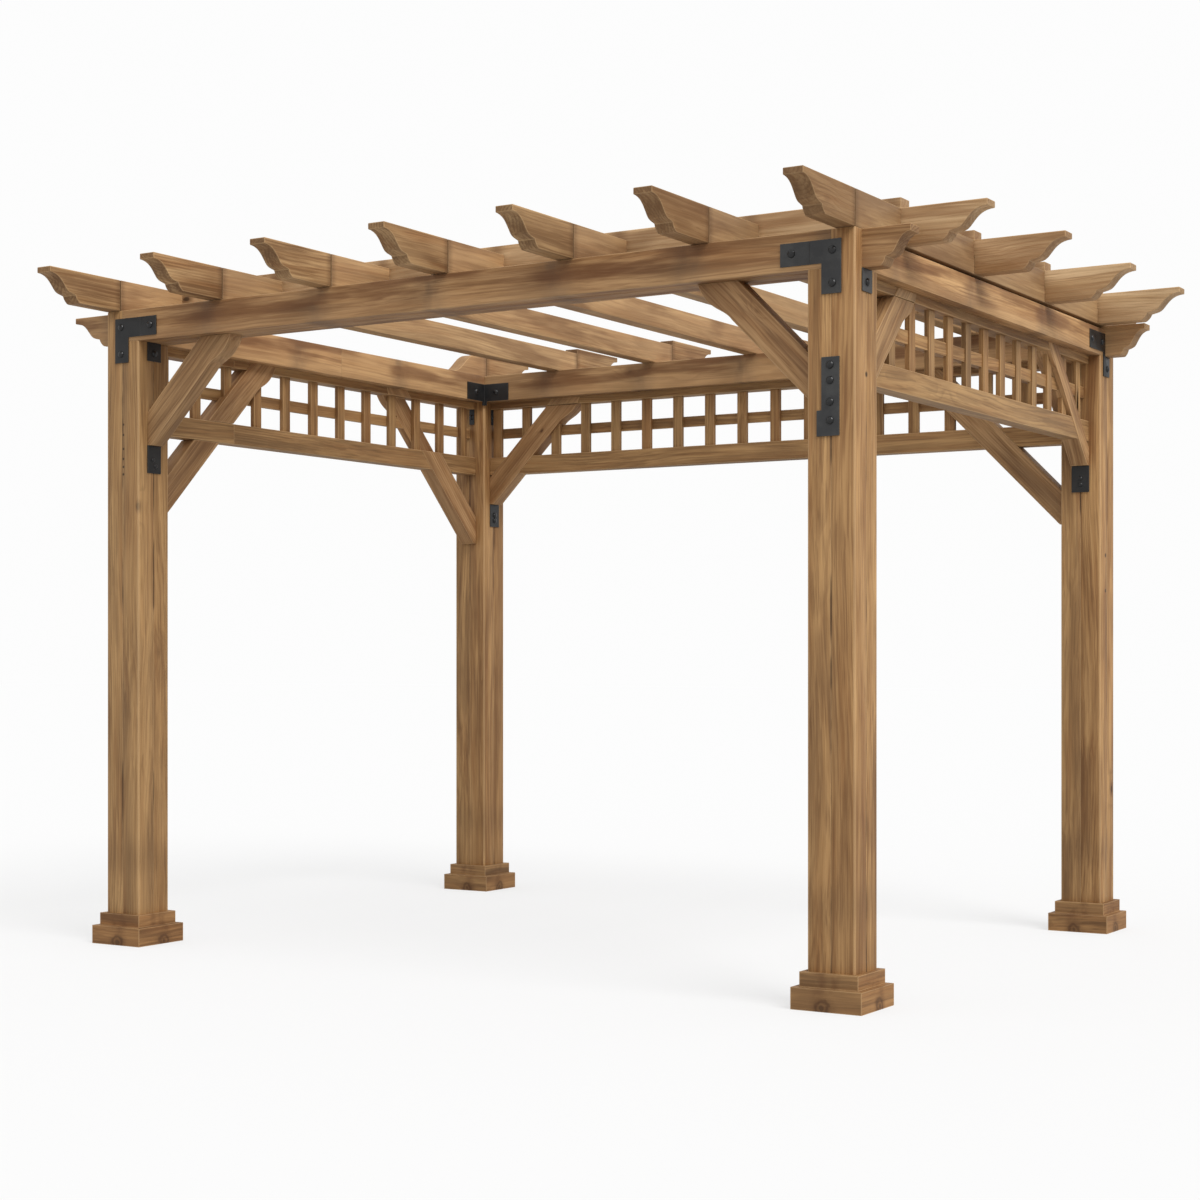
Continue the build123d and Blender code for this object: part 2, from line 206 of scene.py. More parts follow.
class Finish:
    """The nodes of one surface finish."""

    def __init__(self, name):
        self.material = bpy.data.materials.new(name)
        self.material.use_nodes = True
        self.tree = self.material.node_tree
        self.tree.nodes.clear()

    def node(self, kind, sockets=None, out=0, stops=None, **settings):
        made = self.tree.nodes.new("ShaderNode" + kind)
        for key, value in settings.items():
            setattr(made, key, value)
        for i, (place, grey) in enumerate(stops or ()):
            stop = made.color_ramp.elements[i] if i < 2 else made.color_ramp.elements.new(place)
            stop.position = place
            stop.color = (grey, grey, grey, 1)
        for key, value in (sockets or {}).items():
            if isinstance(value, Shade):
                self.tree.links.new(value.socket, made.inputs[key])
            else:
                made.inputs[key].default_value = value
        return Shade(self, made.outputs[out]) if made.outputs else None

    def parts(self, vector):
        split = self.node("SeparateXYZ", {0: vector})
        return [Shade(self, s) for s in split.socket.node.outputs]

    def place(self):
        # where a point of the piece is in the whole pergola
        return self.parts(self.node("TexCoord", out=3))

    def stretch(self, vector, x, y, z):
        return self.node("VectorMath", {0: vector, 1: (x, y, z)}, operation="MULTIPLY")

    def cloud(self, vector, detail=3.0, rough=0.5, out=0):
        return self.node("TexNoise", {"Vector": vector, "Scale": 1.0, "Detail": detail,
                                      "Roughness": rough}, out=out)

    def tint(self, share, under, over):
        return self.node("Mix", {0: share, 6: under, 7: over}, out=2, data_type="RGBA",
                         clamp_factor=True)

    def surface(self, **sockets):
        sockets = {key.replace("_", " "): value for key, value in sockets.items()}
        shader = self.node("BsdfPrincipled", sockets)
        self.node("OutputMaterial", {"Surface": shader})
        return self.material


def rgb(red, green, blue):
    # a colour given as it looks on screen, 0 to 255
    return tuple([(c / 255 / 12.92) if c < 10.3 else ((c / 255 + 0.055) / 1.055) ** 2.4
                  for c in (red, green, blue)] + [1.0])


def timber(name, pale, body, dark, contrast=1.0, knotty=1.0, fade=None):
    """Oiled sawn softwood: growth rings cut by the board's faces, streaks of heartwood, fine
    fibres, knots that the rings run round, arrises painted paler for wear and as a painted highlight, and
    darker end grain."""
    wood = Finish(name)
    run = wood.node("Attribute", out=1, attribute_name="grain")
    tone, end, wear_and_highlight = wood.parts(wood.node("Attribute", out=1, attribute_name="cut"))

    # knots lie in the log at random; the rings swell round them
    cell = wood.stretch(run, 2.9, 5.2, 5.2)
    away = wood.node("TexVoronoi", {"Vector": cell, "Scale": 1.0, "Randomness": 1.0}) / 5.2
    chance = wood.parts(wood.node("TexVoronoi", {"Vector": cell, "Scale": 1.0, "Randomness": 1.0}, out=1))
    some = chance[0].clear(0.30, 0.42)
    size = (chance[1] * 0.008 + 0.006) * knotty
    swell = (1.0 - away.clear(0.0, 0.060 * knotty)) * some
    knot = (1.0 - (away / size).clear(0.75, 1.12)) * some
    knot_rim = (1.0 - (away / size).clear(1.0, 2.2)) * some

    # growth rings, bent slowly along the log
    bend = wood.node("VectorMath", {0: wood.cloud(wood.stretch(run, 0.75, 2.0, 2.0), 1.0, out=1),
                                    1: (0.5, 0.5, 0.5)}, operation="SUBTRACT")
    ripple = wood.node("VectorMath", {0: wood.cloud(wood.stretch(run, 4.0, 16.0, 16.0), 2.0, out=1),
                                      1: (0.5, 0.5, 0.5)}, operation="SUBTRACT")
    bent = wood.node("VectorMath", {0: wood.stretch(bend, 0.0, 0.10, 0.10), 1: run}, operation="ADD")
    bent = wood.node("VectorMath", {0: wood.stretch(ripple, 0.0, 0.010, 0.010), 1: bent}, operation="ADD")
    from_pith = wood.node("VectorMath", {0: wood.stretch(bent, 0.0, 1.0, 1.0)}, out=1, operation="LENGTH")
    count = (from_pith + swell * 0.020) / 0.0105
    ring = wood.node("ValToRGB", {0: count % 1.0},
                     stops=[(0.0, 0.10), (1.0, 0.0), (0.45, 0.20), (0.80, 1.0), (0.90, 0.85)])
    ring = ring * (1.0 - knot)

    # streaks, heartwood, resin, fibres and broad patches
    streak = wood.cloud(wood.stretch(bent, 1.3, 34.0, 34.0), 4.0, 0.62)
    heart = wood.cloud(wood.stretch(bent, 1.1, 15.0, 15.0), 3.0, 0.55)
    resin = wood.cloud(wood.stretch(bent, 1.7, 24.0, 24.0), 3.0, 0.50, out=1)
    patch = wood.cloud(wood.stretch(run, 3.0, 8.0, 8.0), 2.0, 0.5)
    line = wood.cloud(wood.stretch(bent, 2.6, 150.0, 150.0), 2.0, 0.6)
    fibre = wood.cloud(wood.stretch(run, 11.0, 330.0, 330.0), 2.0, 0.6)
    resin = wood.parts(resin)[1]

    colour = wood.tint(streak.clear(0.37, 0.61), pale, body)
    colour = wood.tint(heart.clear(0.47, 0.66) * (0.62 * contrast), colour, dark)
    colour = wood.tint(resin.clear(0.50, 0.66) * (0.34 * contrast), colour, rgb(150, 100, 56))
    colour = wood.tint(ring * (0.28 * contrast + 0.35 * end), colour, dark)
    colour = wood.tint(line.clear(0.52, 0.62) * 0.44, colour, dark)
    colour = wood.tint(line.clear(0.46, 0.36) * 0.30, colour, pale)
    colour = wood.tint(fibre.clear(0.52, 0.78) * 0.40, colour, dark)
    colour = wood.tint(patch.clear(0.52, 0.70) * (0.36 * contrast), colour, rgb(112, 77, 45))
    colour = wood.tint(patch.clear(0.50, 0.28) * (0.30 * contrast), colour, pale)
    colour = wood.tint(knot_rim * 0.55, colour, rgb(88, 54, 30))
    colour = wood.tint(knot * 0.85, colour, rgb(48, 30, 18))

    # every board differs a little; end grain drinks more oil, arrises are painted paler, for wear and as a
    # painted highlight
    colour = wood.tint(tone.clear(0.45, 1.0) * 0.26, colour, rgb(146, 104, 64))
    colour = wood.tint(tone.clear(0.55, 0.0) * 0.20, colour, rgb(140, 118, 84))
    colour = wood.tint(end.clear(0.25, 0.95) * 0.42, colour, rgb(98, 72, 46))
    # painted highlight along the eased arrises, partly wear
    colour = wood.tint(wear_and_highlight * 0.34, colour, rgb(208, 172, 126))
    if fade:
        colour = fade(wood, colour)

    rough = 0.56 + 0.16 * fibre + 0.06 * end
    height = fibre * 0.5 - ring * 0.35 - knot_rim * 0.4 + streak * 0.5
    bump = wood.node("Bump", {"Strength": 0.55, "Distance": 0.0012, "Height": height})
    return wood.surface(Base_Color=colour, Roughness=rough, Normal=bump, Specular_IOR_Level=0.32)


def fit(name, bm, material, slot, *nodes):
    # makes the finished object, hides the plain solids that it stands for and ties it to the frame
    bmesh.ops.recalc_face_normals(bm, faces=bm.faces)
    mesh = bpy.data.meshes.new(name)
    bm.to_mesh(mesh)
    bm.free()
    mesh.shade_smooth()
    mesh.set_sharp_from_angle(angle=math.radians(25))
    mesh.materials.append(material)
    piece = bpy.data.objects.new(name, mesh)
    bpy.context.scene.collection.objects.link(piece)
    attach(piece, "root")
    if nodes:
        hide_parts(*nodes)
    return piece


# small knots on the right hand posts and old nail holes down the front left one, each with its
# place on the pergola and its radius
MARKS = [(1.392, -1.055, 1.810, 0.0080), (1.392, 1.035, 1.380, 0.0080), (1.392, 1.035, 1.250, 0.0070)]
MARKS += [(-1.416, -1.130, height, 0.0045) for height in (1.820, 1.784, 1.735, 1.700, 1.672, 1.646)]


def weathered_joints(wood, colour):
    # the joint gapes in places, and the post is darker in a band low down
    x, y, z = wood.place()
    place = wood.node("TexCoord", out=3)
    dark = 0.0
    for mark_x, mark_y, mark_z, radius in MARKS:
        away = wood.node("VectorMath", {0: place, 1: (mark_x, mark_y, mark_z)}, out=1, operation="DISTANCE")
        dark = (1.0 - away.clear(radius * 0.5, radius * 1.4)).most(dark)
    colour = wood.tint(dark * 0.85, colour, rgb(42, 28, 18))
    to_joint = ((x + 0.051).size() - 1.368).size().least((y.size() - 1.055).size())
    opened = wood.cloud(wood.node("CombineXYZ", {0: x * 2.0, 1: y * 2.0, 2: z * 2.6}), 3.0, 0.6)
    opened = opened - 0.07 + z.near(1.68, 0.32) * 0.17
    colour = wood.tint((1.0 - to_joint.clear(0.0012, 0.0042)) * opened.clear(0.42, 0.58) * 0.85,
                       colour, rgb(46, 30, 18))
    colour = wood.tint((1.0 - to_joint.clear(0.004, 0.022)) * opened.clear(0.50, 0.66) * 0.45,
                       colour, rgb(104, 68, 38))
    return wood.tint(z.near(0.30, 0.10) * 0.22, colour, rgb(92, 64, 40))


post_wood = timber("post_wood", rgb(193, 151, 100), rgb(161, 120, 74), rgb(102, 68, 38),
                   fade=weathered_joints)

for corner, (to_x, to_y) in CORNERS.items():
    low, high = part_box("post_" + corner)
    mid_x = (low[0] + high[0]) / 2
    mid_y = (low[1] + high[1]) / 2
    post = bmesh.new()
    for side_x in (-1, 1):
        for side_y in (-1, 1):
            x0, x1 = sorted((mid_x, mid_x + side_x * POST / 2))
            y0, y1 = sorted((mid_y, mid_y + side_y * POST / 2))
            stick = bmesh.new()
            sawn(stick, x0, x1, y0, y1, 0.0, HEAD)
            out_x = mid_x + side_x * POST / 2
            out_y = mid_y + side_y * POST / 2
            if (side_x, side_y) == (to_x, to_y):
                # the corner timber is notched round the core of the beam and runs to its top
                bmesh.ops.bisect_plane(stick, geom=stick.verts[:] + stick.edges[:] + stick.faces[:],
                                       plane_co=(0, out_y - side_y * CHEEK, 0), plane_no=(0, 1, 0))
                horn = [f for f in stick.faces if f.normal.z > 0.9
                        and abs(f.calc_center_median().y - out_y) < CHEEK]
                risen = bmesh.ops.extrude_face_region(stick, geom=horn)["geom"]
                bmesh.ops.translate(stick, vec=(0, 0, BEAM_TOP - HEAD),
                                    verts=[v for v in risen if isinstance(v, bmesh.types.BMVert)])
                bmesh.ops.delete(stick, geom=horn, context="FACES_ONLY")
                bmesh.ops.dissolve_limit(stick, angle_limit=0.01, verts=stick.verts[:],
                                         edges=stick.edges[:])
            outer = [e for e in stick.edges
                     if all(abs(v.co.x - out_x) < 1e-5 and abs(v.co.y - out_y) < 1e-5 for v in e.verts)]
            ease(stick, outer, POST_ARRIS, 3)
            ease(stick, corners_of(stick, 60), JOINT_ARRIS)
            add_to(post, stick)
    lay_grain(post, (0, 0, 1))
    fit("timber_post_" + corner, post, post_wood, "post_timber", "post_" + corner)


# Base trim: each post stands in two tiers, a plinth and a narrower collar on top of it. Both are
# four short boards of knotty softwood, mitred at the corners and nailed round the post.

TIERS = {"plinth": 0.036, "collar": 0.017}
TRIM_ARRIS = 0.0022


def low_knots(wood, colour):
    # low in the middle of every board a knot with a brown arch round it, and a stain that rises
    # from it over both tiers
    x, y, z = wood.place()
    from_x = (x + 0.051).size() - 1.368
    from_y = y.size() - 1.055
    where = wood.node("CombineXYZ", {0: x * 26.0, 1: y * 26.0, 2: z * 26.0})
    ragged = wood.cloud(where, 2.0, 0.6)
    for across, deep in ((from_x, from_y), (from_y, from_x)):
        board = deep.size().clear(0.082, 0.086)
        away = wood.node("VectorMath", {0: wood.node("CombineXYZ", {0: across + 0.012, 1: z - 0.010})},
                         out=1, operation="LENGTH") + (ragged - 0.5) * 0.036
        rise = across.near(-0.022, 0.036).most(across.near(0.020, 0.024) * z.clear(0.045, 0.075))
        colour = wood.tint(rise * ragged.clear(0.34, 0.62) * board * 0.42, colour, rgb(92, 56, 30))
        colour = wood.tint((1.0 - away.clear(0.014, 0.050)) * board * 0.40, colour, rgb(92, 60, 32))
        colour = wood.tint(away.near(0.019, 0.009) * board * 0.55, colour, rgb(66, 40, 22))
        colour = wood.tint((1.0 - away.clear(0.004, 0.011)) * board * 0.50, colour, rgb(48, 30, 18))
    return colour


base_wood = timber("base_wood", rgb(170, 128, 81), rgb(140, 101, 61), rgb(88, 58, 32),
                   contrast=1.2, knotty=1.6, fade=low_knots)

for corner in CORNERS:
    for tier, thick in TIERS.items():
        low, high = (Vector(c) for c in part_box(tier + "_" + corner))
        mid = (low + high) / 2
        half = (high.x - low.x) / 2
        trim = bmesh.new()
        for quarter in range(4):
            board = bmesh.new()
            sawn(board, -half, half, -half, -half + thick, low.z, high.z)
            for end in (-1, 1):
                cut = bmesh.ops.bisect_plane(board, geom=board.verts[:] + board.edges[:] + board.faces[:],
                                             plane_co=(end * half, -half, 0), plane_no=(end, 1, 0),
                                             clear_outer=True)["geom_cut"]
                bmesh.ops.contextual_create(board, geom=cut)
            ease(board, corners_of(board, 60), TRIM_ARRIS)
            bmesh.ops.rotate(board, cent=(0, 0, 0), matrix=Matrix.Rotation(quarter * math.pi / 2, 3, "Z"),
                             verts=board.verts[:])
            bmesh.ops.translate(board, vec=(mid.x, mid.y, 0), verts=board.verts[:])
            add_to(trim, board)
        lay_grain(trim)
        fit(f"timber_{tier}_{corner}", trim, base_wood, "base_timber", f"{tier}_{corner}")


# Beams: front and rear are three boards bolted together, a core with shaped tails that runs past
# the posts, an outer cheek between the corner timbers and an inner cheek between the side beams.
# The side beams are two boards side by side, butted against the cores. All carry a painted shadow,
# a grey run under each roof board that crosses them.

BOARD = 0.062
BEAM_ARRIS = 0.0022
CORE_ARRIS = 0.0013
SHORTEST = 0.0030
SPLICE = 0.0


def make_whole(bm, least):
    # merges points closer than this and joins triangles into the flat faces that they belong to
    bmesh.ops.remove_doubles(bm, verts=bm.verts[:], dist=least)
    bmesh.ops.dissolve_limit(bm, angle_limit=math.radians(0.4), verts=bm.verts[:], edges=bm.edges[:])


def solid_copy(node):
    bm = bmesh.new()
    bm.from_mesh(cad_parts[node].data)
    make_whole(bm, 2e-5)
    return bm


def keep_side(bm, point, away):
    # saws a copy through and keeps the side behind the blade, with the cut closed
    bmesh.ops.bisect_plane(bm, geom=bm.verts[:] + bm.edges[:] + bm.faces[:], dist=1e-6,
                           plane_co=point, plane_no=away, clear_outer=True)
    bmesh.ops.holes_fill(bm, edges=[e for e in bm.edges if e.is_boundary], sides=0)
    make_whole(bm, 2e-4)


def lengths_of(node, axis, cuts, blade, arris):
    # the boards that a solid falls into when it is sawn across at these places, arrises eased
    whole = bmesh.new()
    way = Vector([1.0 if i == axis else 0.0 for i in range(3)])
    for first, last in zip([None] + cuts, cuts + [None]):
        part = solid_copy(node)
        if first is not None:
            keep_side(part, way * (first + blade / 2), -way)
        if last is not None:
            keep_side(part, way * (last - blade / 2), way)
        ease(part, corners_of(part), arris)
        add_to(whole, part)
    return whole


def middle_of(node, axis):
    low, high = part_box(node)
    return (low[axis] + high[axis]) / 2


rafters = sorted(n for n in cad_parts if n.startswith("rafter_"))
crossers = ["purlin_front"] + sorted(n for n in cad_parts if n.startswith("lookout_"))


def crossing_shadows_and_stains(axis, places, sideways):
    # painted shadow: a grey run under each board that crosses; also a brown run from the top edge
    # between them and a paler lower half
    def fade(wood, colour):
        place = wood.place()
        inside = place[0].clear(-1.25, -1.40).most(place[1].clear(0.90, 1.00))
        crossing_shade = 0.0
        for middle in places:
            crossing_shade = place[axis].near(middle + sideways, 0.085).most(crossing_shade)
        ragged = wood.cloud(wood.node("CombineXYZ", {0: place[axis] * 12.0, 1: place[2] * 7.0}), 3.0, 0.6)
        run = wood.cloud(wood.node("CombineXYZ", {0: place[axis] * 1.9, 1: place[2] * 15.0}), 3.0, 0.5)
        colour = wood.tint(inside * 0.22, colour, rgb(206, 168, 122))
        # painted shadow, grey, under each board that crosses
        colour = wood.tint(crossing_shade * ragged.clear(0.20, 0.76) * 0.62, colour, rgb(88, 70, 56))
        lower = place[2].clear(2.111, 2.114) * (1.0 - place[2].clear(2.130, 2.165))
        colour = wood.tint(lower * 0.24, colour, rgb(202, 162, 116))
        band = place[2].clear(2.125, 2.165) * run.clear(0.45, 0.60)
        return wood.tint(band * 0.64, colour, rgb(104, 64, 34))
    return fade


beam_wood = timber("beam_wood", rgb(192, 152, 106), rgb(156, 117, 75), rgb(98, 64, 36), contrast=1.35,
                   fade=crossing_shadows_and_stains(0, [middle_of(n, 0) for n in rafters], -0.035))
side_beam_wood = timber("side_beam_wood", rgb(212, 168, 117), rgb(188, 142, 93), rgb(122, 80, 46),
                        contrast=1.2, fade=crossing_shadows_and_stains(1, [middle_of(n, 1) for n in crossers], -0.050))

for name, outward in (("front", -1), ("rear", 1)):
    low, high = (Vector(c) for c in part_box("beam_" + name))
    outer = high.y if outward > 0 else low.y
    post_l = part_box("post_front_left")
    post_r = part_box("post_front_right")
    core0 = outer - outward * CHEEK
    core1 = outer - outward * (CHEEK + BOARD)
    inner = outer - outward * POST
    beam = solid_copy("beam_" + name)
    keep_side(beam, (0, core0 - outward * 5e-5, 0), (0, outward, 0))
    keep_side(beam, (0, core1 + outward * 5e-5, 0), (0, -outward, 0))
    make_whole(beam, SHORTEST)
    ease(beam, corners_of(beam), CORE_ARRIS)
    cheeks = bmesh.new()
    sawn(cheeks, post_l[0][0] + POST / 2, post_r[1][0] - POST / 2, min(outer, core0), max(outer, core0),
         HEAD, BEAM_TOP)
    sawn(cheeks, post_l[1][0], post_r[0][0], min(inner, core1), max(inner, core1), HEAD, BEAM_TOP)
    ease(cheeks, corners_of(cheeks), BEAM_ARRIS)
    add_to(beam, cheeks)
    lay_grain(beam, (1, 0, 0))
    fit("timber_beam_" + name, beam, beam_wood, "beam_timber", "beam_" + name)

for name in ("left", "right"):
    low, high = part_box("beam_" + name)
    mid = (low[0] + high[0]) / 2
    beam = bmesh.new()
    for x0, x1 in ((low[0], mid), (mid, high[0])):
        spliced = name == "left" and x1 > mid
        for y0, y1 in ((low[1], SPLICE), (SPLICE, high[1])) if spliced else ((low[1], high[1]),):
            sawn(beam, x0, x1, y0, y1, low[2], high[2])
    ease(beam, corners_of(beam), BEAM_ARRIS)
    lay_grain(beam, (0, 1, 0))
    fit("timber_beam_" + name, beam, side_beam_wood, "beam_timber", "beam_" + name)


# Roof boards: seven rafters lie on the beams, each a middle length with an ogee tail butted to it
# over either beam. The purlin and three lookouts cross them, halved over the rafters. They stand
# a little higher and are of paler boards.

TAIL_ARRIS = 0.0024
TAIL_JOINT = 1.127
TAIL_GAP = 0.0035


def tail_tones_and_joint_shade(wood, colour):
    # a painted shadow line darkens the boards on both sides of the tail joint; the lengths between them
    # are paler with brown clouds, and the boards on the right are browner
    x, y, z = wood.place()
    joint = (y.size() - TAIL_JOINT).size()
    between = 1.0 - y.size().clear(TAIL_JOINT - 0.004, TAIL_JOINT)
    cloudy = wood.cloud(wood.node("CombineXYZ", {0: x * 5.0, 1: y * 2.0, 2: z * 11.0}), 3.0, 0.5)
    colour = wood.tint(between * 0.22, colour, rgb(206, 168, 122))
    colour = wood.tint(between * cloudy.clear(0.50, 0.64) * 0.46, colour, rgb(100, 64, 36))
    # painted shade on both sides of the tail joint
    colour = wood.tint((1.0 - joint.clear(0.0, 0.034)) * 0.50, colour, rgb(86, 58, 34))
    return wood.tint(x.clear(0.55, 1.15) * 0.34, colour, rgb(104, 76, 48))


def crossing_boards(wood, colour):
    # paler along the top edge and at the tips; painted shade makes them browner below and beside each
    # crossing
    x, y, z = wood.place()
    wave = wood.cloud(wood.node("CombineXYZ", {0: x * 4.0, 1: y, 2: z}), 1.0, 0.5)
    # painted shadow on the lower part of each board
    painted_shade_below = 1.0 - (z + (wave - 0.5) * 0.10).clear(2.24, 2.31)
    colour = wood.tint(painted_shade_below * 0.32, colour, rgb(150, 108, 68))
    # painted shade beside each rafter that crosses
    crossing_shade = 0.0
    for node in rafters:
        crossing_shade = x.near(middle_of(node, 0), 0.050).most(crossing_shade)
    return wood.tint(crossing_shade * 0.50, colour, rgb(92, 62, 38))


rafter_wood = timber("rafter_wood", rgb(190, 153, 108), rgb(158, 121, 80), rgb(106, 72, 42),
                     contrast=1.15, fade=tail_tones_and_joint_shade)
lookout_wood = timber("lookout_wood", rgb(226, 192, 148), rgb(202, 164, 118), rgb(150, 110, 72),
                      contrast=0.9, fade=crossing_boards)

for node in rafters:
    board = lengths_of(node, 1, [-TAIL_JOINT, TAIL_JOINT], TAIL_GAP, TAIL_ARRIS)
    lay_grain(board, (0, 1, 0))
    fit("timber_" + node, board, rafter_wood, "rafter_timber", node)

for node in crossers:
    board = solid_copy(node)
    ease(board, corners_of(board), TAIL_ARRIS)
    lay_grain(board, (1, 0, 0))
    fit("timber_" + node, board, lookout_wood, "rafter_timber", node)


# Knee braces: eight of them, two to a side, from post to beam. Each is one board with a scalloped
# lower edge, cut square where it seats, with its grain along the slope. Two end under the top
# rail of their panel and have a separate block above it. The bottom rail passes over one.

BRACE_ARRIS = 0.0026
CAPPED = ("brace_right_front", "brace_rear_left")
PASSED_OVER = "brace_left_front"

brace_wood = timber("brace_wood", rgb(194, 154, 108), rgb(162, 123, 81), rgb(106, 72, 44), contrast=1.1,
                    knotty=0.5)

for node in sorted(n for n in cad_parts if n.startswith("brace_")):
    low, high = (Vector(c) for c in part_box(node))
    rail_low, panel_low, panel_top = (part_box("rails_left")[0][2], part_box("lattice_left")[0][2],
                                      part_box("lattice_left")[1][2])
    cuts = [panel_top] if node in CAPPED else [rail_low, panel_low] if node == PASSED_OVER else []
    brace = lengths_of(node, 2, cuts, 0.0015, BRACE_ARRIS)
    if node == PASSED_OVER:
        bmesh.ops.delete(brace, context="VERTS",
                         geom=[v for v in brace.verts if rail_low < v.co.z < panel_low])
    # it rises from its post towards the middle of its side
    mid = (low + high) / 2
    if high.y - low.y < high.x - low.x:
        slope = (-1 if mid.x > 0 else 1, 0, 1)
    else:
        slope = (0, -1 if mid.y > 0 else 1, 1)
    lay_grain(brace, slope)
    fit("timber_" + node, brace, brace_wood, "brace_timber", node)


# Lattice sides: three sides have a panel between the posts, with a thin top rail, a deep bottom
# rail, upright slats and one cross slat lapped over them. All is cut to fit round the braces,
# and the rails on the left are spliced. On the right the cross slat is let into the uprights.

RAIL_ARRIS = 0.0024
SLAT_ARRIS = 0.0016
RAIL_SPLICE = -0.583
LET_IN = 0.012

lattice_wood = timber("lattice_wood", rgb(183, 143, 94), rgb(151, 112, 69), rgb(98, 67, 37), contrast=1.1)

for side, through, facing in (("left", 0, 1), ("right", 0, 1), ("rear", 1, -1)):
    rails = lengths_of("rails_" + side, 1, [RAIL_SPLICE] if side == "left" else [], 0.0008, RAIL_ARRIS)
    if side == "left":
        # the short length at the front runs through, over the brace
        low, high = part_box("rails_left")
        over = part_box("lattice_left")[0][2]
        bmesh.ops.delete(rails, context="VERTS",
                         geom=[v for v in rails.verts if v.co.y < RAIL_SPLICE and v.co.z < over + 0.001])
        short = bmesh.new()
        sawn(short, low[0], high[0] + 0.0015, low[1], RAIL_SPLICE - 0.0004, low[2], over)
        ease(short, corners_of(short), RAIL_ARRIS)
        add_to(rails, short)
    lay_grain(rails, (1, 0, 0) if side == "rear" else (0, 1, 0))
    fit("timber_rails_" + side, rails, lattice_wood, "lattice_timber", "rails_" + side)

    lattice = bmesh.new()
    for half in (1, -1):
        away = Vector((0, 0, 0))
        away[through] = -half * facing
        point = Vector((0, 0, 0))
        point[through] = middle_of("lattice_" + side, through) + half * facing * 5e-5
        slats = solid_copy("lattice_" + side)
        keep_side(slats, point, away)
        if side == "right" and half < 0:
            for v in slats.verts:
                v.co.x += LET_IN if abs(v.co.x - point.x) < 1e-4 else 0.0
        ease(slats, corners_of(slats), SLAT_ARRIS)
        lay_grain(slats, (0, 0, 1) if half > 0 else (0, 1, 0) if through == 0 else (1, 0, 0))
        add_to(lattice, slats)
    fit("timber_lattice_" + side, lattice, lattice_wood, "lattice_timber", "lattice_" + side)


# Brackets and bolts: flat plates, angles and tabs of 4 mm steel, powder coated black, hold the
# corners. The two front plates are lapped from two strips. The set at the front right has gone
# grey in the sun. Each is fixed with domed coach bolts.

PLATE_ARRIS = 0.0009
STEEL = 0.004
DOME = 0.0118
DOME_RISE = 0.66
LAPS = {"front_left": [-1.333], "front_right": [1.250]}
LAP_GAP = 0.0005


def powder_coat(name, dark, pale):
    coat = Finish(name)
    place = coat.node("TexCoord", out=3)
    peel = coat.cloud(coat.stretch(place, 900.0, 900.0, 900.0), 2.0, 0.5)
    haze = coat.cloud(coat.stretch(place, 18.0, 18.0, 18.0), 4.0, 0.6)
    tone, end, wear_and_highlight = coat.parts(coat.node("Attribute", out=1, attribute_name="cut"))
    colour = coat.tint(haze.clear(0.35, 0.70), dark, pale)
    # painted highlight: the plate arrises are tinted paler grey, partly wear
    colour = coat.tint(wear_and_highlight.near(1.0, 0.5) * 0.30, colour, rgb(96, 94, 90))
    bolt = wear_and_highlight.clear(1.5, 1.6)
    colour = coat.tint(bolt, colour, rgb(24, 24, 25))
    bump = coat.node("Bump", {"Strength": 0.25, "Distance": 0.0004, "Height": peel})
    return coat.surface(Base_Color=colour, Roughness=0.36 + 0.16 * haze - 0.14 * bolt, Normal=bump)


worn_black = powder_coat("black_powder_coat", rgb(42, 42, 43), rgb(58, 58, 57))
deep_black = powder_coat("new_black_powder_coat", rgb(20, 21, 22), rgb(32, 32, 32))


def coach_bolt(bm, place, outward, width):
    # a domed head standing on a plate, its faces marked for the glossier coat
    head = bmesh.new()
    mark = head.faces.layers.int.new("arris")
    bmesh.ops.create_uvsphere(head, u_segments=24, v_segments=16, radius=width)
    keep_side(head, (0, 0, 0), (0, 0, -1))
    bmesh.ops.scale(head, vec=(1, 1, DOME_RISE), verts=head.verts[:])
    for face in head.faces:
        face[mark] = 2
    stand = Vector(outward).to_track_quat("Z", "Y").to_matrix()
    bmesh.ops.rotate(head, cent=(0, 0, 0), matrix=stand, verts=head.verts[:])
    bmesh.ops.translate(head, vec=place, verts=head.verts[:])
    add_to(bm, head)


# each bolt: the face of the post that it is on, how far in from the outer corner, and how high
OUTSIDE = -STEEL
INSIDE = POST + STEEL
BOLTS = {
    "front_left": [("y", OUTSIDE, 0.070, 2.160), ("y", OUTSIDE, 0.206, 2.160),
                   ("y", OUTSIDE, 0.070, 2.066), ("x", INSIDE, 0.075, 2.072),
                   ("x", INSIDE, 0.068, 1.698), ("x", INSIDE, 0.080, 1.676)],
    "front_right": [("y", OUTSIDE, 0.199, 2.160), ("y", OUTSIDE, 0.070, 2.160),
                    ("y", OUTSIDE, 0.070, 2.066), ("x", OUTSIDE, 0.075, 2.072),
                    ("y", OUTSIDE, 0.077, 1.834), ("y", OUTSIDE, 0.077, 1.790),
                    ("y", OUTSIDE, 0.077, 1.729), ("y", OUTSIDE, 0.077, 1.676)],
    "rear_left": [("x", INSIDE, 0.213, 2.147), ("y", INSIDE, 0.213, 2.147),
                  ("x", INSIDE, 0.075, 1.624), ("x", INSIDE, 0.075, 1.600),
                  ("x", INSIDE, 0.087, 2.046), ("y", INSIDE, 0.087, 2.046)],
    "rear_right": [("x", OUTSIDE, 0.250, 2.158), ("x", OUTSIDE, 0.140, 2.158),
                   ("x", OUTSIDE, 0.083, 2.064), ("y", INSIDE, 0.075, 1.662),
                   ("y", INSIDE, 0.075, 1.638)],
}

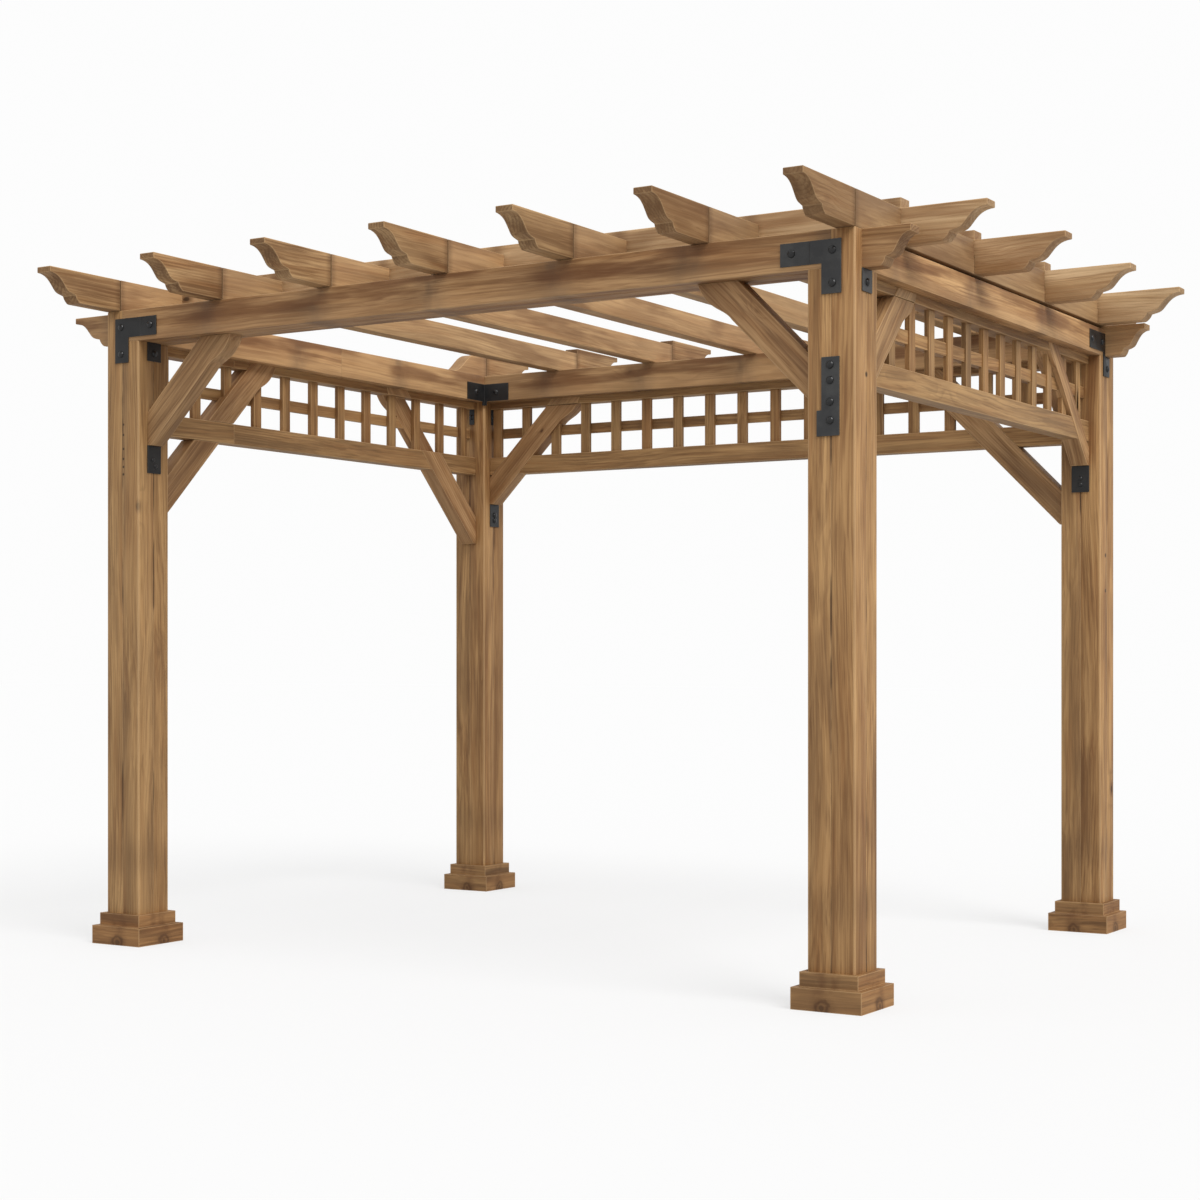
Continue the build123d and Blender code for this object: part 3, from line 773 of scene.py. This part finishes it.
for corner, bolts in BOLTS.items():
    to_x, to_y = CORNERS[corner]
    low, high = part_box("post_" + corner)
    corner_x = high[0] if to_x > 0 else low[0]
    corner_y = high[1] if to_y > 0 else low[1]
    plates = lengths_of("brackets_" + corner, 0, LAPS.get(corner, []), LAP_GAP, PLATE_ARRIS)
    for face, deep, along, height in bolts:
        outwards = 1 if deep < 0 else -1
        if face == "x":
            place = (corner_x - to_x * deep, corner_y - to_y * along, height)
            outward = (to_x * outwards, 0, 0)
        else:
            place = (corner_x - to_x * along, corner_y - to_y * deep, height)
            outward = (0, to_y * outwards, 0)
        coach_bolt(plates, place, outward, 0.0080 if height < 1.71 and to_x * to_y > 0 else DOME)
    lay_grain(plates, (0, 0, 1))
    coat = worn_black if corner == "front_right" else deep_black
    fit("steel_brackets_" + corner, plates, coat, "black_steel", "brackets_" + corner)


# Floor, light and camera: a white floor that runs into a white backdrop and keeps a faint
# shadow, one large soft lamp from the right and an even white sky, as in a product photograph.

FLOOR_GLOW = 0.64
FLOOR_GREY = 0.26
SKY = 0.80

floor_finish = Finish("studio_floor")
seen = floor_finish.node("LightPath", out=0)
matt = floor_finish.node("BsdfDiffuse", {"Color": (0.50, 0.50, 0.50, 1), "Roughness": 0.0})
shaded = floor_finish.node("BsdfDiffuse", {"Color": (FLOOR_GREY, FLOOR_GREY, FLOOR_GREY, 1)})
glow = floor_finish.node("Emission", {"Color": (1, 1, 1, 1), "Strength": FLOOR_GLOW})
white = floor_finish.node("AddShader", {0: shaded, 1: glow})
floor_finish.node("OutputMaterial", {"Surface": floor_finish.node("MixShader", {0: seen, 1: matt, 2: white})})
floor_mesh = bmesh.new()
bmesh.ops.create_grid(floor_mesh, x_segments=1, y_segments=1, size=60.0)
floor_data = bpy.data.meshes.new("studio_floor")
floor_mesh.to_mesh(floor_data)
floor_mesh.free()
floor_data.materials.append(floor_finish.material)
floor = bpy.data.objects.new("studio_floor", floor_data)
bpy.context.scene.collection.objects.link(floor)
floor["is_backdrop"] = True

world = bpy.data.worlds.new("studio")
bpy.context.scene.world = world
world.use_nodes = True
sky = world.node_tree
sky.nodes.clear()
path = sky.nodes.new("ShaderNodeLightPath")
strength = sky.nodes.new("ShaderNodeMix")
strength.inputs[2].default_value = SKY
strength.inputs[3].default_value = 0.98
backdrop = sky.nodes.new("ShaderNodeBackground")
backdrop.inputs["Color"].default_value = (1, 1, 1, 1)
output = sky.nodes.new("ShaderNodeOutputWorld")
sky.links.new(path.outputs["Is Camera Ray"], strength.inputs[0])
sky.links.new(strength.outputs[0], backdrop.inputs["Strength"])
sky.links.new(backdrop.outputs[0], output.inputs["Surface"])

lamp = bpy.data.lights.new("soft_sun", "SUN")
lamp.energy = 2.2
lamp.angle = math.radians(35)
sun = bpy.data.objects.new("soft_sun", lamp)
sun.rotation_euler = Vector((-0.85, 0.30, -0.95)).to_track_quat("-Z", "Y").to_euler()
bpy.context.scene.collection.objects.link(sun)

eye = bpy.data.cameras.new("camera")
eye.lens = 64.70
eye.sensor_width = 36.0
eye.shift_y = 0.0494
eye.clip_end = 200.0
camera = bpy.data.objects.new("camera", eye)
camera.location = (3.974, -6.683, 0.998)
camera.rotation_euler = Euler((math.radians(90), 0.0, math.radians(31.685)))
bpy.context.scene.collection.objects.link(camera)
bpy.context.scene.camera = camera
bpy.context.scene.view_settings.view_transform = "Standard"

low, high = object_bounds()
({"solid": [list(map(float, c)) for c in solid_box],
           "visual": [list(map(float, c)) for c in (low, high)]})
